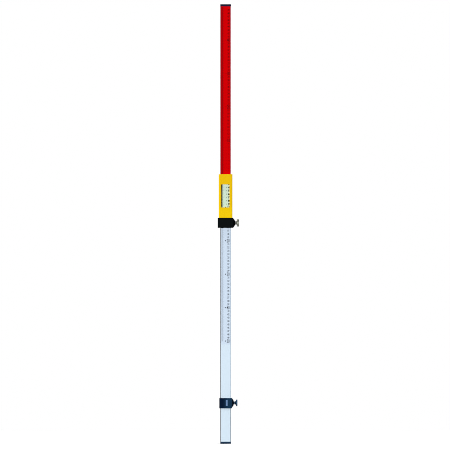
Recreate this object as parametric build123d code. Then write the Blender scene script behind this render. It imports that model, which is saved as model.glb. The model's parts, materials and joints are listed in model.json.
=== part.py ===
from build123d import *
import math
import os

# Telescopic leveling staff with a sliding laser target, in millimetres.
# The origin is the middle of the foot's underside, +Z is up and the scale faces -Y,
# so +X is on the right of someone who reads the scale.

# Lengths along the staff, with the staff pushed in
retracted_length = 1314.9
foot_cap_height = 6.2
leg_show_length = 100.3
lower_collar_height = 30.8
top_cap_height = 6.6
scale_half_length = 500.0
scale_top_margin = 1.55
slide_height = 131.0
slide_collar_height = 29.9

# Sections of the two aluminium extrusions
section_width = 32.2
staff_depth = 14.0
leg_depth = 13.0
section_gap = 4.0
staff_wall = 1.5
leg_wall = 1.6
staff_edge_bevel = 1.0
leg_edge_bevel = 2.1

# Slot in the back of the staff and the screw ports beside it
slot_opening = 9.0
channel_width = 15.0
channel_depth = 4.0
channel_wall = 1.4
port_wall = 0.75

# Printed scale strips in the front recess
strip_width = 29.8
strip_thickness = 0.4
strip_recess_depth = 0.5
strip_tuck = 6.0

# Caps, plugs and the glide at the leg's top
plug_length = 24.0
top_spigot_length = 14.0
cap_chamfer = 0.8
glide_flange = 3.0
glide_drop = 1.0
glide_length = 24.0
stop_length = 12.0
stop_rise = 76.5

# Lower collar, measured outwards from the extrusions
lower_left_wall = 3.0
lower_right_wall = 3.1
lower_front_wall = 4.0
lower_back_wall = 3.7
lower_floor = 3.0
lower_crown = 1.0
lower_corner_radius = 1.6
lower_rim_round = 2.0
lower_boss_round = 1.2
lower_boss_rise = 6.2
lower_boss_radius = 18.0
lower_boss_width = 18.0
lower_boss_lift = 0.7
panel_width = 28.0
panel_height = 18.6
panel_depth = 0.8
plate_width = 5.3
plate_offset = 3.6
plate_thickness = 0.7

# Yellow slide housing, a C round the staff
slide_side_wall = 3.8
slide_front_wall = 4.7
slide_lip = 2.6
slide_lip_opening = 19.0
slide_corner_radius = 2.5
slide_top_chamfer = 0.6
slide_spigot_step = 0.6
slide_step_chamfer = 0.3
window_width = 24.9
window_height = 68.9
window_offset = -0.7
window_top_margin = 30.75
window_corner_radius = 1.2
window_chamfer = 0.5
pane_lap = 1.5
pane_thickness = 1.2

# Black collar at the foot of the slide
slide_collar_left_wall = 3.0
slide_collar_right_wall = 2.85
slide_collar_front_wall = 2.6
slide_collar_floor = 2.5
slide_collar_radius = 2.2
slide_collar_round = 0.8
nose_length = 7.1
nose_root_depth = 20.0
nose_tip_depth = 9.4
nose_tip_height = 8.6

# Clamp screws, shoes and nuts
thread_radius = 2.5
thread_pitch = 0.8
loosening_turns = 1.5
stud_tip_radius = 1.7
stud_tip_length = 1.0
shoe_width = 8.5
shoe_height = 16.0
shoe_thickness = 1.8
shoe_corner_radius = 1.5
lining_thickness = 0.8
nut_radius = 3.4
nut_flange_radius = 4.1
nut_flange_thickness = 0.8
nut_setback = 1.0

# Knurled knobs, upper then lower
slide_knob_radius = 11.0
slide_knob_thickness = 6.45
slide_knob_flare = 3.3
slide_knob_flutes = 32
slide_neck_radius = 4.8
slide_neck_length = 1.9
leg_knob_radius = 9.85
leg_knob_thickness = 4.3
leg_knob_flare = 5.5
leg_knob_flutes = 28
leg_neck_radius = 4.4
leg_neck_length = 0.3
knob_flare_share = 0.7
knob_flare_run = 0.62
knob_flare_rise = 0.32
knob_edge = 0.9
knob_dish_rim = 3.0
knob_dish_depth = 1.4
flute_radius = 0.8
flute_depth = 0.45

# Nylon glide strips let into the plastic
glide_strip_width = 8.0
glide_strip_thickness = 1.0
slide_strip_length = 40.0
glide_strip_margin = 4.0

# Flat-head screws and the set screw of the stop
screw_radius = 1.4
screw_head_radius = 2.7
screw_head_height = 1.3
screw_socket_radius = 1.1
screw_socket_depth = 0.8
cap_screw_spacing = 16.0
cap_screw_bite = 5.0
port_screw_bite = 10.0
collar_screw_spacing = 15.0
collar_screw_bite = 2.8
stop_screw_radius = 2.0

# Clearances: fixed fit, plug in a tube, sliding piece, strip to what it guides
fit_clearance = 0.05
plug_clearance = 0.1
slide_clearance = 0.3
glide_clearance = 0.1

# Places worked out from the sizes above
half_width = section_width / 2
leg_front_y = -leg_depth / 2
leg_back_y = leg_depth / 2
staff_back_y = leg_front_y - section_gap
staff_front_y = staff_back_y - staff_depth
staff_mid_y = (staff_front_y + staff_back_y) / 2
recess_floor_y = staff_front_y + strip_recess_depth
channel_back_y = staff_back_y - staff_wall
channel_floor_y = channel_back_y - channel_depth
cavity_front_y = recess_floor_y + staff_wall
cavity_back_y = channel_floor_y - channel_wall
cavity_half_width = half_width - staff_wall
port_hole_radius = screw_radius + fit_clearance
port_low_x = channel_width / 2 + channel_wall
port_x = (port_low_x + cavity_half_width) / 2
port_y = channel_back_y - port_wall - port_hole_radius
port_front_y = port_y - port_hole_radius - port_wall

staff_top_z = retracted_length - top_cap_height
zero_z = staff_top_z - scale_top_margin - scale_half_length
collar_low_z = foot_cap_height + leg_show_length
collar_top_z = collar_low_z + lower_collar_height
collar_mid_z = (collar_low_z + collar_top_z) / 2
boss_mid_z = collar_mid_z + lower_boss_lift
staff_bottom_z = collar_low_z + lower_floor
leg_top_z = staff_top_z - glide_flange
glide_top_z = staff_top_z - glide_drop
glide_low_z = glide_top_z - glide_length
stop_low_z = staff_bottom_z + stop_rise
stop_top_z = stop_low_z + stop_length
extension_travel = glide_low_z - slide_clearance - stop_top_z
leg_strip_low_z = collar_low_z + glide_strip_margin
leg_strip_high_z = collar_top_z - glide_strip_margin
slide_low_z = zero_z - slide_height
slide_collar_low_z = slide_low_z - slide_collar_height
slide_collar_mid_z = (slide_low_z + slide_collar_low_z) / 2
housing_low_z = slide_collar_low_z + slide_collar_floor

slide_inner_half = half_width + slide_clearance
slide_inner_front_y = staff_front_y - slide_clearance
slide_inner_back_y = staff_back_y + slide_clearance
slide_half_width = slide_inner_half + slide_side_wall
slide_front_y = slide_inner_front_y - slide_front_wall
slide_back_y = slide_inner_back_y + slide_lip
seat_half_width = slide_half_width - slide_spigot_step + fit_clearance
seat_front_y = slide_front_y + slide_spigot_step - fit_clearance
seat_corner_radius = slide_corner_radius - slide_spigot_step + fit_clearance

shoe_travel = thread_pitch * loosening_turns
shoe_face_x = half_width
shoe_low_x = shoe_face_x + lining_thickness
shoe_back_x = shoe_low_x + shoe_thickness
shoe_end_x = shoe_back_x + shoe_travel + slide_clearance
lower_wall_x = half_width + lower_right_wall
lower_tip_x = lower_wall_x + lower_boss_rise
slide_wall_x = slide_half_width + slide_collar_right_wall
slide_tip_x = slide_wall_x + nose_length


def block(x_low, x_high, y_low, y_high, z_low, z_high):
    """Block between the given limits."""
    centre = Pos((x_low + x_high) / 2, (y_low + y_high) / 2, (z_low + z_high) / 2)
    return centre * Box(x_high - x_low, y_high - y_low, z_high - z_low)


def plan(x_low, x_high, y_low, y_high, radius=0.0):
    """Plan rectangle between the given limits, rounded where a radius is given."""
    centre = Pos((x_low + x_high) / 2, (y_low + y_high) / 2)
    if radius > 0:
        return centre * RectangleRounded(x_high - x_low, y_high - y_low, radius)
    return centre * Rectangle(x_high - x_low, y_high - y_low)


def bevelled_plan(x_low, x_high, y_low, y_high, bevel, grow):
    """Plan rectangle with its corners cut off, or one that keeps an even gap round it."""
    sketch = plan(x_low - grow, x_high + grow, y_low - grow, y_high + grow)
    return chamfer(sketch.vertices(), bevel + (2 - math.sqrt(2)) * grow)


def upright(sketch, z_low, z_high):
    """Prism of a plan sketch between two heights."""
    return Pos(0, 0, z_low) * extrude(sketch, amount=z_high - z_low)


def rod(x_low, x_high, y, z, radius):
    """Round bar along X."""
    return Pos((x_low + x_high) / 2, y, z) * Rot(0, 90, 0) * Cylinder(radius, x_high - x_low)


def side_plane(x, y, z):
    """Plane square to X, with its own first axis along Y."""
    return Plane(origin=(x, y, z), x_dir=(0, 1, 0), z_dir=(1, 0, 0))


def tablet(x_low, x_high, y, z, width, height, radius):
    """Rounded plate that lies square to X."""
    face = side_plane(x_low, y, z) * RectangleRounded(width, height, radius)
    return extrude(face, amount=x_high - x_low)


# Flat-head screws: each points down from a head that is flush with the origin
head_up = Rot(0, 0, 0)
head_down = Rot(180, 0, 0)
head_back = Rot(-90, 0, 0)
head_left = Rot(0, -90, 0)
hang = (Align.CENTER, Align.CENTER, Align.MAX)


def flat_screw(length):
    """Flat-head screw with a hexagon socket."""
    head = Cone(screw_radius, screw_head_radius, screw_head_height, align=hang)
    shank = Cylinder(screw_radius, length, align=hang)
    socket = extrude(RegularPolygon(screw_socket_radius, 6), amount=-screw_socket_depth)
    return head + shank - socket


def flat_screw_hole(length):
    """Countersunk hole that takes a flat-head screw of the same length."""
    bore = screw_radius + fit_clearance
    mouth = screw_head_radius + fit_clearance
    sink = Cone(bore, mouth, screw_head_height + fit_clearance, align=hang)
    return sink + Cylinder(bore, length + fit_clearance, align=hang)


def place_each(shape, places):
    """Copies of a shape at each place, kept as separate solids."""
    return Compound([solid for place in places for solid in (place * shape).solids()])


cap_screw_length = leg_wall + plug_clearance + cap_screw_bite
foot_screw_z = foot_cap_height + plug_length / 2
glide_screw_z = leg_top_z - plug_length / 2
cap_screw_x = (-cap_screw_spacing / 2, cap_screw_spacing / 2)
foot_screw_places = [Pos(x, leg_back_y, foot_screw_z) * head_back for x in cap_screw_x]
glide_screw_places = [Pos(x, leg_back_y, glide_screw_z) * head_back for x in cap_screw_x]

top_screw_length = top_cap_height + port_screw_bite
top_screw_places = [Pos(x, port_y, retracted_length) * head_up for x in (-port_x, port_x)]
lower_screw_length = lower_floor + port_screw_bite
lower_screw_places = [Pos(x, port_y, collar_low_z) * head_down for x in (-port_x, port_x)]

collar_left_x = -slide_half_width - slide_collar_left_wall
collar_screw_length = slide_collar_left_wall + collar_screw_bite
collar_screw_reach = collar_screw_spacing / 2
collar_screw_z = (slide_collar_mid_z - collar_screw_reach, slide_collar_mid_z + collar_screw_reach)
collar_screw_places = [Pos(collar_left_x, staff_mid_y, z) * head_left for z in collar_screw_z]


# Leg
def leg_outline(grow=0.0):
    """Outer plan of the leg, or a larger one round it."""
    return bevelled_plan(-half_width, half_width, leg_front_y, leg_back_y, leg_edge_bevel, grow)


def leg_plug(z_low, z_high):
    """Plug that fills the leg's bore between two heights."""
    inset = leg_wall + plug_clearance
    return upright(plan(-half_width + inset, half_width - inset, leg_front_y + inset, leg_back_y - inset),
                   z_low, z_high)


def make_leg_profile():
    """Rectangular tube, notched at the top for the glide and drilled at the back."""
    bore = plan(-half_width + leg_wall, half_width - leg_wall, leg_front_y + leg_wall, leg_back_y - leg_wall)
    tube = upright(leg_outline() - bore, foot_cap_height, leg_top_z)
    neck_half = slot_opening / 2 - slide_clearance + plug_clearance
    notch = block(-neck_half, neck_half, leg_front_y - leg_wall, leg_front_y + leg_wall,
                  glide_low_z - plug_clearance, staff_top_z)
    holes = [place * flat_screw_hole(cap_screw_length) for place in foot_screw_places + glide_screw_places]
    return tube - notch - holes


def make_foot_cap():
    """Moulded foot with a plug inside the leg."""
    cap = upright(leg_outline(), 0, foot_cap_height)
    cap = chamfer(cap.edges().group_by(Axis.Z)[0], cap_chamfer)
    cap += leg_plug(foot_cap_height, foot_cap_height + plug_length)
    return cap - [place * flat_screw_hole(cap_screw_length) for place in foot_screw_places]


def make_leg_top_glide():
    """Moulded plug at the leg's top, with a T that runs in the slot of the staff."""
    plug = upright(leg_outline(), leg_top_z, staff_top_z)
    plug += leg_plug(leg_top_z - plug_length, leg_top_z)
    neck_half = slot_opening / 2 - slide_clearance
    head_half = channel_width / 2 - slide_clearance
    head_back_y = channel_back_y - slide_clearance
    head_front_y = channel_floor_y + slide_clearance
    plug += block(-neck_half, neck_half, head_back_y, 0, glide_low_z, glide_top_z)
    plug += block(-head_half, head_half, head_front_y, head_back_y, glide_low_z, glide_top_z)
    return plug - [place * flat_screw_hole(cap_screw_length) for place in glide_screw_places]


# Staff
def staff_outline(grow=0.0):
    """Outer plan of the staff, or a larger one round it."""
    return bevelled_plan(-half_width, half_width, staff_front_y, staff_back_y, staff_edge_bevel, grow)


def make_staff_profile():
    """Extrusion with a strip recess in front, a T-slot behind and two screw ports."""
    recess_half = strip_width / 2 + plug_clearance
    section = staff_outline()
    section -= plan(-recess_half, recess_half, staff_front_y - strip_recess_depth, recess_floor_y)
    section -= plan(-cavity_half_width, cavity_half_width, cavity_front_y, cavity_back_y)
    for side in (-1, 1):
        x_low, x_high = sorted((side * port_low_x, side * cavity_half_width))
        section -= plan(x_low, x_high, cavity_back_y, port_front_y)
        section -= Pos(side * port_x, port_y) * Circle(port_hole_radius)
    section -= plan(-channel_width / 2, channel_width / 2, channel_floor_y, channel_back_y)
    section -= plan(-slot_opening / 2, slot_opening / 2, channel_back_y, staff_back_y)
    return upright(section, staff_bottom_z, staff_top_z)


def scale_strip(z_low, z_high):
    """Printed strip in the recess of the staff between two heights."""
    return block(-strip_width / 2, strip_width / 2, recess_floor_y - strip_thickness, recess_floor_y,
                 z_low, z_high)


def make_top_cap():
    """Moulded cap on the staff, which also covers the leg when the staff is pushed in."""
    outline = bevelled_plan(-half_width, half_width, staff_front_y, leg_back_y, staff_edge_bevel, 0)
    cap = upright(outline, staff_top_z, retracted_length)
    cap = chamfer(cap.edges().group_by(Axis.Z)[-1], cap_chamfer)
    spigot_half = cavity_half_width - plug_clearance
    cap += block(-spigot_half, spigot_half, cavity_front_y + plug_clearance, cavity_back_y - plug_clearance,
                 staff_top_z - top_spigot_length, staff_top_z)
    return cap - [place * flat_screw_hole(top_screw_length) for place in top_screw_places]


def make_slot_stop():
    """Block in the slot that the glide meets at full extension."""
    half = channel_width / 2 - fit_clearance
    stop = block(-half, half, channel_floor_y + fit_clearance, channel_back_y - fit_clearance,
                 stop_low_z, stop_top_z)
    hole = Cylinder(stop_screw_radius + fit_clearance, 2 * channel_depth)
    return stop - Pos(0, channel_floor_y, (stop_low_z + stop_top_z) / 2) * Rot(90, 0, 0) * hole


def make_slot_stop_screw():
    """Set screw that wedges the stop in the slot."""
    screw = Cylinder(stop_screw_radius, channel_depth, align=hang)
    screw -= extrude(RegularPolygon(screw_socket_radius, 6), amount=-screw_socket_depth)
    return Pos(0, channel_back_y, (stop_low_z + stop_top_z) / 2) * head_back * screw


# Lower collar and the leg clamp
def shoe_pocket(x_high, y, z):
    """Room for a clamp shoe and its travel."""
    return tablet(shoe_face_x, x_high, y, z, shoe_width + 2 * slide_clearance,
                  shoe_height + 2 * slide_clearance, shoe_corner_radius + slide_clearance)


def nut_bore(x_low, tip_x, y, z):
    """Seat of a flanged nut with the stud's hole beyond it."""
    seat = rod(x_low, x_low + nut_flange_thickness + fit_clearance, y, z, nut_flange_radius + fit_clearance)
    seat += rod(x_low, tip_x - nut_setback + fit_clearance, y, z, nut_radius + fit_clearance)
    return seat + rod(x_low, tip_x + nut_setback, y, z, thread_radius + slide_clearance)


def make_nut(x_low, tip_x, y, z):
    """Flanged brass nut, pulled outwards against its seat."""
    nut = rod(x_low, x_low + nut_flange_thickness, y, z, nut_flange_radius)
    nut += rod(x_low, tip_x - nut_setback, y, z, nut_radius)
    return nut - rod(x_low, tip_x, y, z, thread_radius + fit_clearance)


def make_shoe(y, z):
    """Pressure shoe with a hole for the stud's tip."""
    shoe = tablet(shoe_low_x, shoe_back_x, y, z, shoe_width, shoe_height, shoe_corner_radius)
    return shoe - rod(shoe_back_x - stud_tip_length, shoe_back_x, y, z, stud_tip_radius + fit_clearance)


def make_lining(y, z):
    """Rubber face of a pressure shoe."""
    return tablet(shoe_face_x, shoe_low_x, y, z, shoe_width, shoe_height, shoe_corner_radius)


def knob_bore_end(tip_x, flare, thickness):
    """How far the stud reaches into a knob."""
    return tip_x + slide_clearance + flare + thickness / 2


def make_stud(tip_x, flare, thickness, y, z):
    """Threaded stud from the shoe to the knob, with a thinner tip in the shoe."""
    seat_x = shoe_back_x + fit_clearance
    stud = rod(seat_x - stud_tip_length, seat_x, y, z, stud_tip_radius)
    return stud + rod(seat_x, knob_bore_end(tip_x, flare, thickness), y, z, thread_radius)


def make_knob(clamp, neck_radius, neck_length, radius, flutes, axis):
    """Turned knob: a neck that flares out, a fluted head and a dished outer face."""
    tip_x, flare, thickness = clamp
    end_x = flare + thickness
    edge_radius = radius - knob_edge
    flare_radius = knob_flare_share * radius
    flare_start = (neck_length, neck_radius)
    flare_end = (flare, flare_radius)
    flare_mid_x = neck_length + knob_flare_run * (flare - neck_length)
    flare_mid = (flare_mid_x, neck_radius + knob_flare_rise * (flare_radius - neck_radius))
    dish_radius = radius - knob_dish_rim
    dish_x = end_x - knob_dish_depth
    outline = [
        Polyline((0, 0), (0, neck_radius), flare_start),
        ThreePointArc(flare_start, flare_mid, flare_end),
        Polyline(
            flare_end,
            (flare, edge_radius),
            (flare + knob_edge, radius),
            (end_x - knob_edge, radius),
            (end_x, edge_radius),
            (end_x, dish_radius),
            (dish_x, dish_radius - knob_dish_depth),
            (dish_x, 0),
            (0, 0),
        ),
    ]
    knob = revolve(make_face(outline), axis=Axis.X)
    flute_centre = Pos(end_x / 2, 0, radius + flute_radius - flute_depth)
    flute = flute_centre * Rot(0, 90, 0) * Cylinder(flute_radius, 2 * end_x)
    knob -= [Rot(turn * 360 / flutes, 0, 0) * flute for turn in range(flutes)]
    knob = Pos(tip_x + slide_clearance, *axis) * knob
    return knob - rod(tip_x, knob_bore_end(*clamp), *axis, thread_radius + fit_clearance)


def lower_strip_spans():
    """Plan limits of the two strips that the leg runs on: left wall, then back wall."""
    out = half_width + glide_clearance
    back = leg_back_y + glide_clearance
    half = glide_strip_width / 2
    left_strip = (-out - glide_strip_thickness, -out, -half, half)
    back_strip = (-half, half, back, back + glide_strip_thickness)
    return [left_strip, back_strip]


def make_lower_collar():
    """Collar with a crowned front, fixed to the staff's end and open for the leg."""
    left_x = -half_width - lower_left_wall
    front_y = staff_front_y - lower_front_wall
    back_y = leg_back_y + lower_back_wall
    mid_x = (left_x + lower_wall_x) / 2
    edge_y = front_y + lower_crown
    outline = make_face([
        ThreePointArc((left_x, edge_y), (mid_x, front_y), (lower_wall_x, edge_y)),
        Polyline((lower_wall_x, edge_y), (lower_wall_x, back_y), (left_x, back_y), (left_x, edge_y)),
    ])
    outline = fillet(outline.vertices(), lower_corner_radius)
    collar = upright(outline, collar_low_z, collar_top_z)
    rims = collar.edges().group_by(Axis.Z)
    collar = fillet(rims[0] + rims[-1], lower_rim_round)

    boss_reach = math.sqrt(lower_boss_rise * (2 * lower_boss_radius - lower_boss_rise))
    boss_low_z = boss_mid_z - boss_reach
    boss_top_z = boss_mid_z + boss_reach
    boss_low = (lower_wall_x, boss_low_z)
    boss_top = (lower_wall_x, boss_top_z)
    boss_face = make_face([
        ThreePointArc(boss_low, (lower_tip_x, boss_mid_z), boss_top),
        Polyline(boss_top, (half_width, boss_top_z), (half_width, boss_low_z), boss_low),
    ])
    boss_face = Plane(origin=(0, lower_boss_width / 2, 0), x_dir=(1, 0, 0), z_dir=(0, -1, 0)) * boss_face
    boss = extrude(boss_face, amount=lower_boss_width)
    boss = fillet(boss.faces().sort_by(Axis.X)[-1].edges(), lower_boss_round)
    collar += boss

    collar -= upright(staff_outline(fit_clearance), staff_bottom_z, collar_top_z)
    collar -= upright(leg_outline(slide_clearance), collar_low_z, collar_top_z)
    collar -= shoe_pocket(shoe_end_x, 0, boss_mid_z)
    collar -= nut_bore(shoe_end_x, lower_tip_x, 0, boss_mid_z)
    collar -= block(mid_x - panel_width / 2, mid_x + panel_width / 2,
                    front_y - panel_depth, front_y + panel_depth,
                    boss_mid_z - panel_height / 2, boss_mid_z + panel_height / 2)
    for x_low, x_high, y_low, y_high in lower_strip_spans():
        collar -= block(x_low - fit_clearance, x_high + fit_clearance,
                        y_low - fit_clearance, y_high + fit_clearance,
                        leg_strip_low_z - fit_clearance, leg_strip_high_z + fit_clearance)
    return collar - [place * flat_screw_hole(lower_screw_length) for place in lower_screw_places]


def make_lower_plate():
    """Inset plate on the panel of the lower collar."""
    floor_y = staff_front_y - lower_front_wall + panel_depth
    half_height = panel_height / 2 - slide_clearance
    return block(plate_offset - plate_width / 2, plate_offset + plate_width / 2,
                 floor_y - plate_thickness, floor_y,
                 boss_mid_z - half_height, boss_mid_z + half_height)


def make_leg_glide_strips():
    """Two strips in the lower collar that the leg runs on."""
    return Compound([block(*span, leg_strip_low_z, leg_strip_high_z) for span in lower_strip_spans()])


# Slide and its clamp
def housing_outline(inset=0.0):
    """Outer plan of the slide housing, or a smaller one inside it."""
    return plan(-slide_half_width + inset, slide_half_width - inset,
                slide_front_y + inset, slide_back_y - inset, slide_corner_radius - inset)


def slide_strip_limits():
    """Limits of the two strips on the left wall of the slide: lower, then upper."""
    out = -half_width - glide_clearance
    low = housing_low_z + glide_strip_margin
    high = zero_z - glide_strip_margin
    y_low = staff_mid_y - glide_strip_width / 2
    y_high = staff_mid_y + glide_strip_width / 2
    return [(out - glide_strip_thickness, out, y_low, y_high, low, low + slide_strip_length),
            (out - glide_strip_thickness, out, y_low, y_high, high - slide_strip_length, high)]


def window_cut(y_low, y_high, lap, radius):
    """Rounded opening through the front of the slide, wider all round by a lap."""
    window_mid_z = zero_z - window_top_margin - window_height / 2
    sketch = RectangleRounded(window_width + 2 * lap, window_height + 2 * lap, radius)
    front = Plane(origin=(window_offset, y_high, window_mid_z), x_dir=(1, 0, 0), z_dir=(0, -1, 0))
    return extrude(front * sketch, amount=y_high - y_low)


def make_slide_housing():
    """C-shaped housing round the staff, with a window in front and a spigot for the collar."""
    lip_half = slide_lip_opening / 2
    room = staff_outline(slide_clearance)
    room += plan(-lip_half, lip_half, slide_inner_back_y - slide_lip, slide_back_y)
    housing = upright(housing_outline(), slide_low_z, zero_z)
    housing = chamfer(housing.edges().group_by(Axis.Z)[0], slide_step_chamfer)
    housing += upright(housing_outline(slide_spigot_step), housing_low_z, slide_low_z)
    housing -= upright(room, housing_low_z, zero_z)
    housing = chamfer(housing.edges().group_by(Axis.Z)[-1], slide_top_chamfer)
    housing -= window_cut(slide_front_y, slide_inner_front_y, 0, window_corner_radius)
    rim = housing.faces().filter_by(Axis.Y).sort_by(Axis.Y)[0].inner_wires()[0].edges()
    housing = chamfer(rim, window_chamfer)
    rebate = pane_thickness + 2 * fit_clearance
    housing -= window_cut(slide_inner_front_y - rebate, slide_inner_front_y, pane_lap + fit_clearance,
                          window_corner_radius + pane_lap)
    housing -= shoe_pocket(slide_half_width, staff_mid_y, slide_collar_mid_z)
    for x_low, x_high, y_low, y_high, z_low, z_high in slide_strip_limits():
        housing -= block(x_low - fit_clearance, x_high, y_low - fit_clearance, y_high + fit_clearance,
                         z_low - fit_clearance, z_high + fit_clearance)
    return housing - [place * flat_screw_hole(collar_screw_length) for place in collar_screw_places]


def make_window_pane():
    """Clear pane that sits in the rebate behind the window."""
    pane_back_y = slide_inner_front_y - fit_clearance
    return window_cut(pane_back_y - pane_thickness, pane_back_y, pane_lap, window_corner_radius + pane_lap)


def make_slide_glide_strips():
    """Two strips in the slide that run on the staff."""
    return Compound([block(*limits) for limits in slide_strip_limits()])


def make_slide_collar():
    """Collar over the housing's lower end, with a tapered nose for the clamp screw."""
    front_y = slide_front_y - slide_collar_front_wall
    outline = plan(collar_left_x, slide_wall_x, front_y, slide_back_y)
    front_corners = outline.vertices().group_by(Axis.Y)[0]
    outline = fillet(front_corners, slide_collar_radius)
    collar = upright(outline, slide_collar_low_z, slide_low_z)
    rims = collar.edges().group_by(Axis.Z)
    outer_rims = [edge for edge in rims[0] + rims[-1] if edge.center().Y < slide_back_y - slide_collar_round]
    collar = fillet(outer_rims, slide_collar_round)

    root = side_plane(slide_wall_x - fit_clearance, staff_mid_y, slide_collar_mid_z)
    tip = side_plane(slide_tip_x, staff_mid_y, slide_collar_mid_z)
    root_face = root * Rectangle(nose_root_depth, slide_collar_height - 2 * slide_collar_round)
    tip_face = tip * Rectangle(nose_tip_depth, nose_tip_height)
    collar += loft([root_face, tip_face])

    seat = plan(-seat_half_width, seat_half_width, seat_front_y, slide_back_y)
    seat_corners = seat.vertices().group_by(Axis.Y)[0]
    seat = fillet(seat_corners, seat_corner_radius)
    collar -= upright(seat, housing_low_z, slide_low_z)
    collar -= upright(plan(-slide_inner_half, slide_inner_half, slide_inner_front_y, slide_back_y),
                      slide_collar_low_z, housing_low_z)
    collar -= shoe_pocket(shoe_end_x, staff_mid_y, slide_collar_mid_z)
    collar -= nut_bore(shoe_end_x, slide_tip_x, staff_mid_y, slide_collar_mid_z)
    return collar - [place * flat_screw_hole(collar_screw_length) for place in collar_screw_places]


leg_clamp = (lower_tip_x, leg_knob_flare, leg_knob_thickness)
slide_clamp = (slide_tip_x, slide_knob_flare, slide_knob_thickness)
leg_axis = (0, boss_mid_z)
slide_axis = (staff_mid_y, slide_collar_mid_z)

nodes = {
    "leg_profile": make_leg_profile(),
    "foot_cap": make_foot_cap(),
    "foot_cap_screws": place_each(flat_screw(cap_screw_length), foot_screw_places),
    "leg_top_glide": make_leg_top_glide(),
    "leg_glide_screws": place_each(flat_screw(cap_screw_length), glide_screw_places),
    "staff_profile": make_staff_profile(),
    "red_scale_strip": scale_strip(zero_z, staff_top_z),
    "silver_scale_strip": scale_strip(collar_top_z - strip_tuck, zero_z),
    "top_cap": make_top_cap(),
    "top_cap_screws": place_each(flat_screw(top_screw_length), top_screw_places),
    "slot_stop": make_slot_stop(),
    "slot_stop_screw": make_slot_stop_screw(),
    "lower_collar": make_lower_collar(),
    "lower_collar_plate": make_lower_plate(),
    "lower_collar_screws": place_each(flat_screw(lower_screw_length), lower_screw_places),
    "lower_nut": make_nut(shoe_end_x, lower_tip_x, *leg_axis),
    "leg_glide_strips": make_leg_glide_strips(),
    "leg_clamp_shoe": make_shoe(*leg_axis),
    "leg_clamp_lining": make_lining(*leg_axis),
    "leg_clamp_stud": make_stud(*leg_clamp, *leg_axis),
    "leg_clamp_knob": make_knob(leg_clamp, leg_neck_radius, leg_neck_length,
                                leg_knob_radius, leg_knob_flutes, leg_axis),
    "slide_housing": make_slide_housing(),
    "window_pane": make_window_pane(),
    "slide_glide_strips": make_slide_glide_strips(),
    "slide_collar": make_slide_collar(),
    "slide_collar_screws": place_each(flat_screw(collar_screw_length), collar_screw_places),
    "slide_nut": make_nut(shoe_end_x, slide_tip_x, *slide_axis),
    "slide_clamp_shoe": make_shoe(*slide_axis),
    "slide_clamp_lining": make_lining(*slide_axis),
    "slide_clamp_stud": make_stud(*slide_clamp, *slide_axis),
    "slide_clamp_knob": make_knob(slide_clamp, slide_neck_radius, slide_neck_length,
                                  slide_knob_radius, slide_knob_flutes, slide_axis),
}

os.makedirs("parts", exist_ok=True)
for name, shape in nodes.items():
    export_step(shape, f"parts/{name}.step")
print(len(nodes), "nodes, zero line at", round(zero_z, 2), "mm")
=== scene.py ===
# %% [markdown]
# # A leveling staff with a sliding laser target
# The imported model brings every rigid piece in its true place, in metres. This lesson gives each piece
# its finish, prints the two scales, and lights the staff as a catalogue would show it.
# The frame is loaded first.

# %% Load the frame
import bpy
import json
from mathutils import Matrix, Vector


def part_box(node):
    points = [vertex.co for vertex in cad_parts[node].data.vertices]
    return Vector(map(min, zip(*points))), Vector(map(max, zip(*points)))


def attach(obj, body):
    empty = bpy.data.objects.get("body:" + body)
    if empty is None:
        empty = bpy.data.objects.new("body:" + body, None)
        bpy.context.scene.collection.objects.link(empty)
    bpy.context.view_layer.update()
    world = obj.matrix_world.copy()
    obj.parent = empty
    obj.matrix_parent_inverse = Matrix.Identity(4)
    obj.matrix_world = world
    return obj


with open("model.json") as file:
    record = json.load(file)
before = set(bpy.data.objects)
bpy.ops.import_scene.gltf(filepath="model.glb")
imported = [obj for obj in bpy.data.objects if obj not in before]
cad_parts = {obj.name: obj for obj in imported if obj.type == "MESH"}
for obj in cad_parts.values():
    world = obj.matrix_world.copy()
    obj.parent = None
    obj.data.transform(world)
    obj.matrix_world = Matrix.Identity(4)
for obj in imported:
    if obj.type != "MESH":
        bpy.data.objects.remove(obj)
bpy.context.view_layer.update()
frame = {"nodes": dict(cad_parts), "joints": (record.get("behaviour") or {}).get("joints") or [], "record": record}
print("pieces in the frame:", len(frame["nodes"]))

# %% Tools for the lesson
import json
import math

import bmesh
import bpy
from mathutils import Vector

scene = bpy.context.scene
nodes = frame["nodes"]


def paint(red, green, blue):
    """Colour picked on a screen, 0 to 255, taken by the usual screen curve to a shader's linear one."""
    picked = [value / 255 for value in (red, green, blue)]
    return [v / 12.92 if v <= 0.04045 else ((v + 0.055) / 1.055) ** 2.4 for v in picked] + [1.0]


print("a picked mid grey is", round(paint(128, 128, 128)[0], 3), "in linear light")

# %% [markdown]
# ## Wiring shader nodes
# Materials are small circuits. A few helpers keep the wiring readable: one adds a node and sets its
# inputs, one makes a node group with named sockets, and the rest do arithmetic. A group is built once
# and then placed in each material with other values, as a workshop uses one tool on many pieces.


# %% Helpers for nodes and groups
def add_node(tree, kind, inputs=None, **settings):
    """A node with its settings and its inputs, which are values or other nodes' outputs."""
    made = tree.nodes.new(kind)
    for name, value in settings.items():
        setattr(made, name, value)
    for name, value in (inputs or {}).items():
        if isinstance(value, bpy.types.NodeSocket):
            tree.links.new(value, made.inputs[name])
        else:
            made.inputs[name].default_value = value
    return made


def start_group(name, takes, gives):
    """An empty shader group with its sockets; takes and gives list names and kinds."""
    group = bpy.data.node_groups.new(name, "ShaderNodeTree")
    for socket_name, kind, value in takes:
        socket = group.interface.new_socket(socket_name, in_out="INPUT", socket_type=kind)
        socket.default_value = value
    for socket_name, kind in gives:
        group.interface.new_socket(socket_name, in_out="OUTPUT", socket_type=kind)
    return group, group.nodes.new("NodeGroupInput").outputs, group.nodes.new("NodeGroupOutput").inputs


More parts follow.
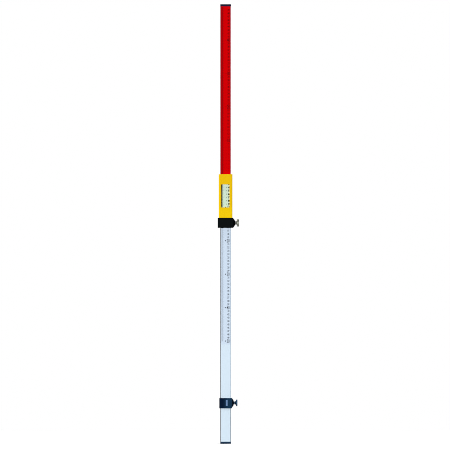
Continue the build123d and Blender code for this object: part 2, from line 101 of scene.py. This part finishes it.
COLOUR, VALUE, VECTOR = "NodeSocketColor", "NodeSocketFloat", "NodeSocketVector"
SURFACE = [("Color", COLOUR), ("Roughness", VALUE), ("Height", VALUE)]
print("each skin gives", [name for name, kind in SURFACE])

# %% Helpers for arithmetic
noise_middle = 0.5


def calculate(tree, how, first, second, third=0.0):
    """One step of arithmetic between values or outputs."""
    return add_node(tree, "ShaderNodeMath", {0: first, 1: second, 2: third}, operation=how).outputs[0]


def noise(tree, place, scale, detail):
    """A noise between 0 and 1, mostly near its middle."""
    made = add_node(tree, "ShaderNodeTexNoise", {"Vector": place, "Scale": scale, "Detail": detail})
    return made.outputs["Fac"]


def swing(tree, value, amount):
    """How far a noise is from its middle, times an amount."""
    return calculate(tree, "MULTIPLY", calculate(tree, "SUBTRACT", value, noise_middle), amount)


def squeeze(tree, place, across, along):
    """A place with one scale across the staff and another along it."""
    apart = add_node(tree, "ShaderNodeSeparateXYZ", {"Vector": place}).outputs
    made = add_node(tree, "ShaderNodeCombineXYZ", {
        "X": calculate(tree, "MULTIPLY", apart["X"], across),
        "Y": calculate(tree, "MULTIPLY", apart["Y"], across),
        "Z": calculate(tree, "MULTIPLY", apart["Z"], along),
    })
    return made.outputs["Vector"]


def give_surface(group, takes, gives, tone, height, gloss_swing):
    """Wire a skin's outputs: a colour that the tone changes, an uneven gloss, and the height."""
    factor = calculate(group, "ADD", tone, 1.0)
    shaded = add_node(group, "ShaderNodeVectorMath", {0: takes["Color"], "Scale": factor}, operation="SCALE")
    uneven = add_node(group, "ShaderNodeMapRange", {
        "Value": height, "To Min": -gloss_swing, "To Max": gloss_swing,
    })
    rough = calculate(group, "ADD", takes["Roughness"], uneven.outputs["Result"])
    group.links.new(shaded.outputs["Vector"], gives["Color"])
    group.links.new(rough, gives["Roughness"])
    group.links.new(height, gives["Height"])


print("a noise swings round", noise_middle)

# %% [markdown]
# ## Moulded plastic
# A moulded piece copies the skin of its steel mould: a very fine, even grain, with broad and faint
# changes of tone where the plastic cooled at different speeds. It could be painted as an image, but
# two noises at different scales do it without one and never repeat.

# %% Moulded skin group
cooling_scale = 38.0
moulded_gloss_swing = 0.07


def make_moulded_skin():
    """Fine grain with broad clouds of tone."""
    group, takes, gives = start_group("moulded skin", [
        ("Color", COLOUR, (0.5, 0.5, 0.5, 1)),
        ("Grain", VALUE, 2200.0),
        ("Tone", VALUE, 0.06),
        ("Roughness", VALUE, 0.4),
    ], SURFACE)
    place = add_node(group, "ShaderNodeTexCoord").outputs["Object"]
    grain = noise(group, place, takes["Grain"], detail=3.0)
    cloud = noise(group, place, cooling_scale, detail=2.0)
    broad = swing(group, cloud, takes["Tone"])
    fine = swing(group, grain, takes["Tone"])
    tone = calculate(group, "ADD", broad, fine)
    give_surface(group, takes, gives, tone, grain, moulded_gloss_swing)
    return group


moulded_skin = make_moulded_skin()
print("made the group", moulded_skin.name)

# %% [markdown]
# ## Drawn aluminium
# An extrusion comes out of its die with hair lines along its length. Anodising leaves them, but makes
# the surface satin. A noise squeezed across the profile and stretched along it gives those lines, and
# the same noise makes the gloss uneven in the same direction.

# %% Drawn lines group
line_scale_along = 2.5
anodising_scale = 9.0
drawn_gloss_swing = 0.08


def make_drawn_lines():
    """Hair lines along the staff with broad clouds of tone."""
    group, takes, gives = start_group("drawn lines", [
        ("Color", COLOUR, (0.8, 0.8, 0.8, 1)),
        ("Density", VALUE, 2600.0),
        ("Streak", VALUE, 0.06),
        ("Roughness", VALUE, 0.35),
    ], SURFACE)
    place = add_node(group, "ShaderNodeTexCoord").outputs["Object"]
    squeezed = squeeze(group, place, takes["Density"], line_scale_along)
    lines = noise(group, squeezed, 1.0, detail=3.0)
    cloud = noise(group, place, anodising_scale, detail=2.0)
    broad = swing(group, cloud, takes["Streak"])
    fine = swing(group, lines, takes["Streak"])
    tone = calculate(group, "ADD", broad, fine)
    give_surface(group, takes, gives, tone, lines, drawn_gloss_swing)
    return group


drawn_lines = make_drawn_lines()
print("made the group", drawn_lines.name)

# %% [markdown]
# ## Turned metal
# Knobs and nuts come off a lathe, and the tool leaves rings round the axis. Grooves in the mesh would
# take far too many faces. A noise needs two numbers only: how far a point is along the axis, and how
# far it is from it.

# %% Turned rings group
turned_gloss_swing = 0.06


def make_turned_rings():
    """Rings round an axis that runs along X through a point."""
    group, takes, gives = start_group("turned rings", [
        ("Color", COLOUR, (0.7, 0.7, 0.7, 1)),
        ("Axis Point", VECTOR, (0, 0, 0)),
        ("Density", VALUE, 5200.0),
        ("Streak", VALUE, 0.12),
        ("Roughness", VALUE, 0.28),
    ], SURFACE)
    place = add_node(group, "ShaderNodeTexCoord").outputs["Object"]
    inner = add_node(group, "ShaderNodeVectorMath", {0: place, 1: takes["Axis Point"]}, operation="SUBTRACT")
    apart = add_node(group, "ShaderNodeSeparateXYZ", {"Vector": inner.outputs["Vector"]}).outputs
    across = add_node(group, "ShaderNodeCombineXYZ", {"Y": apart["Y"], "Z": apart["Z"]}).outputs["Vector"]
    radius = add_node(group, "ShaderNodeVectorMath", {0: across}, operation="LENGTH").outputs["Value"]
    rings = add_node(group, "ShaderNodeCombineXYZ", {
        "X": calculate(group, "MULTIPLY", apart["X"], takes["Density"]),
        "Y": calculate(group, "MULTIPLY", radius, takes["Density"]),
    })
    lines = noise(group, rings.outputs["Vector"], 1.0, detail=2.0)
    give_surface(group, takes, gives, swing(group, lines, takes["Streak"]), lines, turned_gloss_swing)
    return group


turned_rings = make_turned_rings()
print("made the group", turned_rings.name)

# %% [markdown]
# ## Marks of use
# A staff slides through its collars, so rubbing leaves short, thin lines along its length. The mask of
# such marks is the same for metal, plastic and film, so it is a group of its own: most of the surface
# is 0, and a few stretched spots rise towards 1.

# %% Rub marks group
rub_scale_across = 900.0
rub_scale_along = 45.0
rub_starts = 0.62
rub_is_full = 0.78


def make_rub_marks():
    """Mask of a few spots that are stretched along the staff."""
    group, takes, gives = start_group("rub marks", [("Amount", VALUE, 0.3)], [("Mask", VALUE)])
    place = add_node(group, "ShaderNodeTexCoord").outputs["Object"]
    spots = noise(group, squeeze(group, place, rub_scale_across, rub_scale_along), 1.0, detail=2.0)
    few = add_node(group, "ShaderNodeMapRange", {
        "Value": spots, "From Min": rub_starts, "From Max": rub_is_full,
    })
    group.links.new(calculate(group, "MULTIPLY", few.outputs["Result"], takes["Amount"]), gives["Mask"])
    return group


rub_marks = make_rub_marks()
print("made the group", rub_marks.name)

# %% [markdown]
# ## One way to build a finish
# Every finish has the same plan: a skin group gives colour, roughness and height, rub marks change
# the colour a little and take some gloss away, and a bump turns the height into a fine relief. Numbers
# that are the same all over, such as the metallic share, stay on the shader itself.

# %% Finish builder
rub_dulling = 0.25
relief_depth = 0.0001
finishes = {}


def use_group(tree, group, values):
    """A group placed in a material with its own values."""
    made = tree.nodes.new("ShaderNodeGroup")
    made.node_tree = group
    for name, value in values.items():
        made.inputs[name].default_value = value
    return made.outputs


def make_finish(name, skin, skin_values, relief, wear, wear_colour, constants):
    """A material from a skin group, rub marks and constants on the shader."""
    finish = bpy.data.materials.new(name)
    finish.use_nodes = True
    tree = finish.node_tree
    shader = tree.nodes["Principled BSDF"]
    surface = use_group(tree, skin, skin_values)
    marks = use_group(tree, rub_marks, {"Amount": wear})["Mask"]
    worn = add_node(tree, "ShaderNodeMix", data_type="RGBA")
    tree.links.new(marks, worn.inputs["Factor"])
    tree.links.new(surface["Color"], worn.inputs["A"])
    worn.inputs["B"].default_value = wear_colour
    dull = calculate(tree, "MULTIPLY_ADD", marks, rub_dulling, surface["Roughness"])
    bump = add_node(tree, "ShaderNodeBump", {
        "Height": surface["Height"], "Strength": relief, "Distance": relief_depth,
    })
    tree.links.new(worn.outputs["Result"], shader.inputs["Base Color"])
    tree.links.new(dull, shader.inputs["Roughness"])
    tree.links.new(bump.outputs["Normal"], shader.inputs["Normal"])
    for socket, value in constants.items():
        shader.inputs[socket].default_value = value
    return finish


print("the relief is at most", relief_depth * 1000, "mm deep")

# %% [markdown]
# ## The metals
# The two long profiles are anodised aluminium with a cool tint. The upper knob is nickel plated, the
# lower one blue-black steel, the screws and studs are zinc plated and the two nuts are brass. Turned
# rings need the axis that they go round, and the frame's own joints give it. The nuts share one finish,
# with the axis of the lower one.

# %% Aluminium and turned pieces
finishes["anodised_aluminium"] = make_finish(
    "satin anodised aluminium", drawn_lines,
    {"Color": paint(223, 241, 255), "Density": 2600.0, "Streak": 0.07, "Roughness": 0.33},
    relief=0.12, wear=0.25, wear_colour=paint(236, 242, 248), constants={"Metallic": 1.0})

joint_places = {joint["child"]: joint.get("pos_m") for joint in frame["joints"]}
slide_axis = tuple(joint_places["slide_screw"])
leg_axis = tuple(joint_places["leg_screw"])

finishes["nickel_knob"] = make_finish(
    "nickel plate", turned_rings,
    {"Color": paint(214, 218, 204), "Axis Point": slide_axis, "Streak": 0.14, "Roughness": 0.24},
    relief=0.15, wear=0.3, wear_colour=paint(236, 238, 230), constants={"Metallic": 1.0})
finishes["dark_knob"] = make_finish(
    "blue-black steel", turned_rings,
    {"Color": paint(77, 122, 160), "Axis Point": leg_axis, "Streak": 0.16, "Roughness": 0.34},
    relief=0.15, wear=0.35, wear_colour=paint(120, 140, 160),
    constants={"Metallic": 0.45, "Specular IOR Level": 0.4})
finishes["nut_brass"] = make_finish(
    "turned brass", turned_rings,
    {"Color": paint(214, 178, 104), "Axis Point": leg_axis, "Streak": 0.12, "Roughness": 0.3},
    relief=0.1, wear=0.2, wear_colour=paint(232, 206, 150), constants={"Metallic": 1.0})
finishes["screw_steel"] = make_finish(
    "zinc plated steel", moulded_skin,
    {"Color": paint(196, 200, 204), "Grain": 3400.0, "Tone": 0.1, "Roughness": 0.34},
    relief=0.08, wear=0.3, wear_colour=paint(224, 226, 228), constants={"Metallic": 1.0})
print("metal finishes:", len(finishes))

# %% [markdown]
# ## The plastics
# The slide is bright yellow and satin, and its collar is black with a coarser grain. The top cap is a
# dark, glossy navy and the lower collar a bluer one. The foot is scuffed from standing on the ground,
# and its paler colour is painted light, the glow the white floor would throw up on it. Nylon strips and
# rubber linings are almost hidden, but they get their own skins too.

# %% Shells, collars and caps
finishes["yellow_plastic"] = make_finish(
    "yellow moulding", moulded_skin,
    {"Color": paint(236, 192, 14), "Grain": 2200.0, "Tone": 0.05, "Roughness": 0.42},
    relief=0.06, wear=0.12, wear_colour=paint(250, 214, 80), constants={"Specular IOR Level": 0.12})
finishes["black_plastic"] = make_finish(
    "black moulding", moulded_skin,
    {"Color": paint(8, 12, 13), "Grain": 1500.0, "Tone": 0.25, "Roughness": 0.5},
    relief=0.16, wear=0.2, wear_colour=paint(38, 42, 44), constants={"Specular IOR Level": 0.05})
finishes["navy_plastic"] = make_finish(
    "navy moulding", moulded_skin,
    {"Color": paint(20, 17, 46), "Grain": 2600.0, "Tone": 0.2, "Roughness": 0.2},
    relief=0.04, wear=0.12, wear_colour=paint(40, 62, 90), constants={"Specular IOR Level": 0.08})
finishes["collar_navy"] = make_finish(
    "glossy navy collar", moulded_skin,
    {"Color": paint(20, 52, 79), "Grain": 2600.0, "Tone": 0.2, "Roughness": 0.2},
    relief=0.04, wear=0.12, wear_colour=paint(40, 62, 90), constants={"Specular IOR Level": 0.05})
# The foot's paler navy is painted light from the floor below it, and its rub marks are real scuffs.
finishes["foot_navy_scuffs_and_painted_light"] = make_finish(
    "scuffed navy foot with painted floor light", moulded_skin,
    {"Color": paint(44, 72, 101), "Grain": 1800.0, "Tone": 0.4, "Roughness": 0.45},
    relief=0.1, wear=0.5, wear_colour=paint(84, 104, 128), constants={"Specular IOR Level": 0.08})
print("finishes so far:", len(finishes))

# %% Plate, nylon and rubber
finishes["plate_grey"] = make_finish(
    "blue-grey plate", drawn_lines,
    {"Color": paint(105, 137, 178), "Density": 3000.0, "Streak": 0.1, "Roughness": 0.4},
    relief=0.08, wear=0.2, wear_colour=paint(150, 172, 200), constants={"Specular IOR Level": 0.3})
finishes["white_nylon"] = make_finish(
    "milled nylon", drawn_lines,
    {"Color": paint(232, 231, 222), "Density": 1400.0, "Streak": 0.06, "Roughness": 0.5},
    relief=0.1, wear=0.15, wear_colour=paint(214, 212, 202), constants={"Subsurface Weight": 0.05})
finishes["lining_rubber"] = make_finish(
    "lining rubber", moulded_skin,
    {"Color": paint(34, 34, 35), "Grain": 1200.0, "Tone": 0.3, "Roughness": 0.75},
    relief=0.2, wear=0.2, wear_colour=paint(70, 70, 70), constants={"Specular IOR Level": 0.2})
print("finishes so far:", len(finishes))

# %% [markdown]
# ## The printed films
# The scale strips are thin plastic films, red above zero and silver below it. They are rolled, so
# their faint lines run lengthwise too, wider apart than on the aluminium.

# %% Films
finishes["red_film"] = make_finish(
    "red film", drawn_lines,
    {"Color": paint(208, 1, 6), "Density": 900.0, "Streak": 0.05, "Roughness": 0.4},
    relief=0.04, wear=0.1, wear_colour=paint(222, 30, 34), constants={"Specular IOR Level": 0.02})
finishes["silver_film"] = make_finish(
    "silver film", drawn_lines,
    {"Color": paint(209, 225, 243), "Density": 900.0, "Streak": 0.05, "Roughness": 0.4},
    relief=0.04, wear=0.15, wear_colour=paint(220, 230, 242), constants={"Specular IOR Level": 0.2})
print("finishes so far:", len(finishes))

# %% [markdown]
# ## Slow changes of colour, and painted shade
# Two pieces aren't one colour all over. The silver film is lighter below the end of its scale, and the
# slide is a deeper yellow from its window upwards. The lower collar is darker on its left, and that is
# painted shade. Each could be two materials with a hard edge between them. A mix by place, ahead of
# the skin group, gives a soft one.


# %% Tones that change along an axis
def pass_colour(finish, axis, low, high, colour):
    """Let a finish pass from another colour into its own along an axis, between two places."""
    tree = finish.node_tree
    skin = next(node for node in tree.nodes if node.type == "GROUP" and "Color" in node.inputs)
    place = add_node(tree, "ShaderNodeTexCoord").outputs["Object"]
    along = add_node(tree, "ShaderNodeSeparateXYZ", {"Vector": place}).outputs[axis]
    share = add_node(tree, "ShaderNodeMapRange", {"Value": along, "From Min": low, "From Max": high})
    passing = add_node(tree, "ShaderNodeMix", data_type="RGBA")
    passing.inputs["A"].default_value = colour
    passing.inputs["B"].default_value = skin.inputs["Color"].default_value
    tree.links.new(share.outputs["Result"], passing.inputs["Factor"])
    tree.links.new(passing.outputs["Result"], skin.inputs["Color"])


scale_length = 0.5
silver_low, silver_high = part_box("silver_scale_strip")
scale_end = silver_high.z - scale_length
film_is_bare = scale_end - 0.012
film_is_printed = scale_end - 0.006
pass_colour(finishes["silver_film"], "Z", film_is_bare, film_is_printed, paint(217, 234, 248))

window_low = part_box("window_pane")[0].z
slide_is_lighter = window_low - 0.008
slide_is_deeper = window_low + 0.008
pass_colour(finishes["yellow_plastic"], "Z", slide_is_lighter, slide_is_deeper, paint(242, 201, 12))

# Painted shade: the lower collar is darkened on its left, and its right part keeps the lighter navy where a
# reflection would fall.
collar_painted_shade_full = -0.008
collar_painted_shade_end = 0.006
pass_colour(finishes["collar_navy"], "X", collar_painted_shade_full, collar_painted_shade_end, paint(0, 21, 47))
print("the silver scale ends", round(scale_end * 1000, 1), "mm above the ground")

# %% [markdown]
# ## The pane
# The pane over the window is clear acrylic with a green cast. A low alpha alone would lay its colour
# over the scale like fog, and the red strip would look orange behind it. Transmission tints what is
# behind instead. A share of the pane is still plain alpha, so that a viewer without transmission shows
# the scale too. It hardly bends light, which keeps both images of the scale in one place, and a thin
# coat gives it gloss. Shadow and bounce rays pass it by, because light traced through clear plastic is
# slow and noisy.

# %% Clear pane
pane_tint = paint(234, 244, 190)
finishes["clear_pane"] = make_finish(
    "green-tinted acrylic", moulded_skin,
    {"Color": pane_tint, "Grain": 300.0, "Tone": 0.03, "Roughness": 0.08},
    relief=0.01, wear=0.0, wear_colour=pane_tint,
    constants={"Transmission Weight": 1.0, "IOR": 1.05, "Coat Weight": 0.15, "Alpha": 0.35})
nodes["window_pane"].visible_shadow = False
nodes["window_pane"].visible_diffuse = False
print("finishes so far:", len(finishes))

# %% [markdown]
# ## Dressing the frame
# The record names a material slot for each piece, and most finishes carry that name. The lower collar
# and the foot have the same slot as the top cap, but finishes of their own: the collar is a bluer navy
# with painted shade on its left, and the foot carries painted floor light. So they are named here.

# %% Dress the frame
own_finish = {"foot_cap": "foot_navy_scuffs_and_painted_light", "lower_collar": "collar_navy"}
for part in frame["record"]["subparts"]:
    body = nodes[part["node"]].data
    body.materials.clear()
    body.materials.append(finishes[own_finish.get(part["node"], part["material_slot"])])

# %% [markdown]
# ## Printing the scales
# Zero is level with the top edge of the slide. The red strip counts up from it and the silver strip
# down, half a metre each, with a tick for every millimetre on the left and a figure for every
# centimetre on the right. A dark line of ink along the left edge of the silver strip is painted shade
# beside the rim. Print could be a texture, but ticks and figures made as thin plates of ink stay sharp
# at any distance. They lie on the strips and are 0.05 mm thick.

# %% Where the print goes
millimetre = 0.001
centimetre = 0.01
decimetre = 0.1
millimetres_a_side = round(scale_length / millimetre)
centimetres_a_side = round(scale_length / centimetre)
way = {"up": 1, "down": -1}
ink_thickness = 0.00005
strip_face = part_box("red_scale_strip")[0].y
zero_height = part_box("red_scale_strip")[0].z
print("zero is", round(zero_height / millimetre, 2), "mm above the ground")

# %% Ink plates and ticks
tick_left = -0.0130
tick_reach = {"millimetre": 0.0057, "half": 0.0071, "centimetre": 0.0085}
tick_weight = {"up": 0.00043, "down": 0.0002}
# Width of the line of painted shade along the silver strip's left edge.
edge_shade_width = 0.0009


def ink_plate(ink, left, right, low, high):
    """Thin rectangle of ink on the strip, added to a bmesh."""
    front = strip_face - ink_thickness
    corners = [
        ink.verts.new((x, y, z))
        for y in (front, strip_face)
        for x, z in ((left, low), (right, low), (right, high), (left, high))
    ]
    for face in ((0, 1, 2, 3), (7, 6, 5, 4), (0, 4, 5, 1), (1, 5, 6, 2), (2, 6, 7, 3), (3, 7, 4, 0)):
        ink.faces.new([corners[i] for i in face])


def ink_ticks(ink, side):
    """Millimetre ticks from zero in one direction, longer at each half and whole centimetre."""
    half_weight = tick_weight[side] / 2
    for step in range(1, millimetres_a_side):
        kind = "centimetre" if step % 10 == 0 else "half" if step % 5 == 0 else "millimetre"
        height = zero_height + way[side] * step * millimetre
        ink_plate(ink, tick_left, tick_left + tick_reach[kind], height - half_weight, height + half_weight)


def ink_border(ink):
    """Painted shade: a dark line along the left edge of the silver strip, from its lower end to zero."""
    ink_plate(ink, silver_low.x, silver_low.x + edge_shade_width, silver_low.z, zero_height)


print("each strip has", millimetres_a_side - 1, "ticks")

# %% [markdown]
# ## Figures
# A text object gives the outline of each figure. It is turned to a mesh once, scaled to its true
# height, and then stamped wherever the scale needs it. There are three kinds: wide single figures near
# zero, which are thinner on red, narrow double ones, and tall ones at each ten centimetres. The figures
# stand a little above their ticks.

# %% Sizes of the figures
outline_steps = 3
half_depth = 0.5
single_height = {"up": 0.0055, "down": 0.0066}
single_bolder = {"up": -0.025, "down": 0.045}
single_stretch = 1.2
single_middle = 0.0094
single_lift = 0.0003
double_height = 0.0058
double_bolder = 0.02
double_stretch = 0.76
double_middle = {"up": 0.0087, "down": 0.0082}
double_lift = 0.0008
tall_height = 0.0105
tall_bolder = 0.01
tall_stretch = 0.58
tall_right = {"up": 0.0127, "down": 0.0117}
tall_lift = 0.0008
tall_count = {"up": 4, "down": 5}
print("tall figures are", round(tall_height / double_height, 2), "times as tall as double ones")


# %% Cut the figures
def cut_figure(text, height, stretch, bolder):
    """Points and faces of a figure, 1 deep, with its height, width and weight set, round its middle."""
    curve = bpy.data.curves.new("figure " + text, "FONT")
    curve.body = text
    curve.extrude = half_depth
    curve.offset = bolder
    curve.resolution_u = outline_steps
    holder = bpy.data.objects.new("figure " + text, curve)
    mesh = bpy.data.meshes.new_from_object(holder)
    across = [point.co.x for point in mesh.vertices]
    upward = [point.co.y for point in mesh.vertices]
    scale = height / (max(upward) - min(upward))
    middle = Vector(((max(across) + min(across)) / 2, (max(upward) + min(upward)) / 2))
    points = [
        ((p.co.x - middle.x) * scale * stretch, p.co.z, (p.co.y - middle.y) * scale)
        for p in mesh.vertices
    ]
    faces = [list(face.vertices) for face in mesh.polygons]
    bpy.data.objects.remove(holder)
    bpy.data.meshes.remove(mesh)
    return points, faces


single_figures = {
    side: {
        count: cut_figure(str(count), single_height[side], single_stretch, single_bolder[side])
        for count in range(1, 10)
    }
    for side in way
}
double_figures = {
    count: cut_figure(str(count), double_height, double_stretch, double_bolder)
    for count in range(11, centimetres_a_side) if count % 10
}
tall_figures = {
    count: cut_figure(str(count * 10), tall_height, tall_stretch, tall_bolder)
    for count in range(1, tall_count["down"] + 1)
}
print("cut", 2 * len(single_figures["up"]) + len(double_figures) + len(tall_figures), "figures")

# %% [markdown]
# ## Signs
# The single and the tall figures have a sign on their left: a minus above zero and a plus below it.
# Signs could be text too, but as plates of ink, like the ticks, they have a width and a weight of
# their own.

# %% Signs and stamping
sign_middle = 0.0027
sign_span = 0.0036
sign_weight = {"up": 0.0003, "down": 0.0007}
tall_sign_middle = {"up": 0.0012, "down": -0.0003}
tall_sign_span = 0.0035
tall_sign_weight = {"up": 0.0006, "down": 0.0015}


def ink_sign(ink, middle, height, span, weight, plus):
    """A minus, or a plus with its upright in two halves so that no plates cross."""
    half, thin = span / 2, weight / 2
    ink_plate(ink, middle - half, middle + half, height - thin, height + thin)
    if plus:
        ink_plate(ink, middle - thin, middle + thin, height + thin, height + half)
        ink_plate(ink, middle - thin, middle + thin, height - half, height - thin)


def stamp(ink, figure, middle, height):
    """A cut figure set down on the strip."""
    points, faces = figure
    centre = strip_face - ink_thickness / 2
    placed = [ink.verts.new((middle + x, centre - y * ink_thickness, height + z)) for x, y, z in points]
    for face in faces:
        ink.faces.new([placed[i] for i in face])


def ink_figures(ink, side):
    """A figure for each centimetre of one strip, with its sign where it has one."""
    plus = side == "down"
    for count in range(1, centimetres_a_side):
        height = zero_height + way[side] * count * centimetre
        if count < 10:
            stamp(ink, single_figures[side][count], single_middle, height + single_lift)
            ink_sign(ink, sign_middle, height + single_lift, sign_span, sign_weight[side], plus)
        elif count % 10:
            stamp(ink, double_figures[count], double_middle[side], height + double_lift)
    for count in range(1, tall_count[side] + 1):
        height = zero_height + way[side] * count * decimetre + tall_lift
        half_width = max(point[0] for point in tall_figures[count][0])
        stamp(ink, tall_figures[count], tall_right[side] - half_width, height)
        ink_sign(ink, tall_sign_middle[side], height, tall_sign_span, tall_sign_weight[side], plus)


print("a plus is", sign_span / millimetre, "mm wide")

# %% [markdown]
# ## Ink
# The ink is black, and a little uneven where the press gave less. It is a finish like the others. All
# the print of one strip is one piece. The front, the sides and the back of a figure come from the text
# as loose sheets, so points that share a place are welded, which closes them.

# %% Print both strips
weld_distance = 0.000001
finishes["ink"] = make_finish(
    "printing ink", moulded_skin,
    {"Color": paint(9, 7, 9), "Grain": 1800.0, "Tone": 0.3, "Roughness": 0.5},
    relief=0.05, wear=0.1, wear_colour=paint(40, 36, 40), constants={"Specular IOR Level": 0.05})


def print_scale(name, side):
    """All the print of one strip as one piece that rides on the staff."""
    ink = bmesh.new()
    # The silver strip gets a line of painted shade along its left edge.
    if side == "down":
        ink_border(ink)
    ink_ticks(ink, side)
    ink_figures(ink, side)
    bmesh.ops.remove_doubles(ink, verts=ink.verts, dist=weld_distance)
    bmesh.ops.recalc_face_normals(ink, faces=ink.faces)
    mesh = bpy.data.meshes.new(name)
    ink.to_mesh(mesh)
    ink.free()
    mesh.materials.append(finishes["ink"])
    piece = bpy.data.objects.new(name, mesh)
    scene.collection.objects.link(piece)
    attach(piece, "staff")
    print(name, "has", len(mesh.polygons), "faces")


print_scale("red_scale_print", "up")
print_scale("silver_scale_print", "down")

# %% [markdown]
# ## Floor
# The staff stands on a plain pale floor. It is a wide disc, so that it looks the same from every side,
# with a faint cloud in its colour so that it doesn't look like paper cut out by a computer. It takes
# shadows, but throws no light back on the staff: the room stands in for its shine.

# %% Floor
floor_radius = 2.4
floor_sides = 96


def make_floor():
    """Pale disc under the staff."""
    disc = bmesh.new()
    bmesh.ops.create_circle(disc, cap_ends=True, segments=floor_sides, radius=floor_radius)
    mesh = bpy.data.meshes.new("studio_floor")
    disc.to_mesh(mesh)
    disc.free()
    pale = bpy.data.materials.new("pale floor")
    pale.use_nodes = True
    tree = pale.node_tree
    shader = tree.nodes["Principled BSDF"]
    skin = use_group(tree, moulded_skin, {
        "Color": paint(246, 246, 246), "Grain": 60.0, "Tone": 0.02, "Roughness": 0.7,
    })
    tree.links.new(skin["Color"], shader.inputs["Base Color"])
    tree.links.new(skin["Roughness"], shader.inputs["Roughness"])
    shader.inputs["Specular IOR Level"].default_value = 0.1
    mesh.materials.append(pale)
    floor = bpy.data.objects.new("studio_floor", mesh)
    scene.collection.objects.link(floor)
    floor.visible_glossy = False
    floor.visible_diffuse = False
    return floor


floor = make_floor()
print("the floor is", round(floor.dimensions.x, 2), "m wide")

# %% [markdown]
# ## Lamps
# Catalogue light is bright and even, but comes more from the left, so the window's left edge throws a
# shadow on the scale. Suns with a wide disc act as large soft boxes, because they light the whole
# length of the staff evenly. The main one is level with the staff, at the front left. One shines from
# the right and from behind on the knobs, and one from above keeps the floor white. None of them shows
# in a reflection: that is left to the room.


# %% Soft boxes
def soft_box(name, strength, disc, toward):
    """Sun with a wide disc in degrees, from a direction given as a point it stands at."""
    lamp = bpy.data.lights.new(name, "SUN")
    lamp.energy = strength
    lamp.angle = math.radians(disc)
    holder = bpy.data.objects.new(name, lamp)
    holder.rotation_mode = "QUATERNION"
    holder.rotation_quaternion = Vector(toward).to_track_quat("Z", "Y")
    holder.visible_glossy = False
    scene.collection.objects.link(holder)
    return holder


lamps = [
    soft_box("front left soft box", strength=3.5, disc=8, toward=(-0.66, -0.825, 0.0)),
    soft_box("right soft box", strength=3.0, disc=20, toward=(0.9, 0.3, 0.4)),
    soft_box("floor lamp overhead", strength=2.5, disc=40, toward=(0, 0, 1)),
]
print("soft boxes:", len(lamps))

# %% [markdown]
# ## Room
# The room is white to the eye and dim as a light. It could be a box of panels, but levels that change
# with the direction are smoother. In reflections it is a studio with dark screens: bright in front,
# dimmer behind and at the right, and dark at the left, which draws the dark line along the left edge of
# the metal. It is dark far above and far below too. Seen from above, metal mirrors the pale floor, so
# just below the horizon the room is bright at both sides.

# %% Room
room = bpy.data.worlds.new("white room")
scene.world = room
room.use_nodes = True
wires = room.node_tree
wires.nodes.clear()
way_out = add_node(wires, "ShaderNodeTexCoord").outputs["Generated"]
heading = add_node(wires, "ShaderNodeSeparateXYZ", {"Vector": way_out}).outputs


def soft_step(value, start, end, low, high):
    """A smooth change from one level to another as a value grows."""
    made = add_node(wires, "ShaderNodeMapRange", {
        "Value": value, "From Min": start, "From Max": end, "To Min": low, "To Max": high,
    }, interpolation_type="SMOOTHSTEP")
    return made.outputs["Result"]


def times(first, second):
    """Two levels of the room multiplied."""
    return calculate(wires, "MULTIPLY", first, second)


dim_behind = soft_step(heading["Y"], start=-0.6, end=0.6, low=1.08, high=0.55)
dark_left = soft_step(heading["X"], start=-0.56, end=-0.1, low=0.02, high=1.0)
dim_right = soft_step(heading["X"], start=0.3, end=0.78, low=1.0, high=0.36)
floor_shine = soft_step(heading["Z"], start=-0.28, end=-0.14, low=1.0, high=0.0)
steepness = calculate(wires, "ABSOLUTE", heading["Z"], 0.0)
dark_ends = soft_step(steepness, start=0.3, end=0.7, low=1.0, high=0.03)
sideways = calculate(wires, "MAXIMUM", times(dark_left, dim_right), floor_shine)
mirrored = times(times(dim_behind, sideways), dark_ends)
print("nodes of the mirrored room:", len(wires.nodes))

# %% Light of the room
fill_level = 0.07
ray = add_node(wires, "ShaderNodeLightPath").outputs
seen = calculate(wires, "MAXIMUM", ray["Is Camera Ray"], fill_level)
not_glossy = calculate(wires, "SUBTRACT", 1.0, ray["Is Glossy Ray"])
level = calculate(wires, "MULTIPLY_ADD", ray["Is Glossy Ray"], mirrored, times(not_glossy, seen))
glow = add_node(wires, "ShaderNodeBackground", {"Color": (1, 1, 1, 1), "Strength": level})
add_node(wires, "ShaderNodeOutputWorld", {"Surface": glow.outputs["Background"]})
print("room nodes in all:", len(wires.nodes))

# %% [markdown]
# ## Camera
# The photograph looks square at the scale from far away, so a long lens is used: it keeps near and far
# pieces at nearly the same size. The picture is 450 pixels wide, and the scale itself says that one of
# them is 2.9895 mm, which fixes the distance. Colours are shown as they are, with no film curve, and a
# box filter lets each pixel take only its own light, so that edges are as crisp as in the photograph.

# %% Camera
pixels_across = 450
pixel_size = 0.0029895
picture_width = pixels_across * pixel_size
picture_middle = Vector((-0.00176, strip_face, 0.6546))
lens = bpy.data.cameras.new("long lens")
lens.lens = 1000
lens.sensor_width = 36
lens.clip_end = 100
distance = picture_width * lens.lens / lens.sensor_width
camera = bpy.data.objects.new("camera", lens)
camera.location = picture_middle - Vector((0, distance, 0))
camera.rotation_euler = (math.radians(90), 0, 0)
scene.collection.objects.link(camera)
scene.camera = camera
scene.view_settings.view_transform = "Standard"
scene.cycles.pixel_filter_type = "BOX"
print("the camera stands", round(distance, 2), "m away")

# %% [markdown]
# ## Finish
# The last cell brings the scene up to date.

# %% Update the scene
bpy.context.view_layer.update()
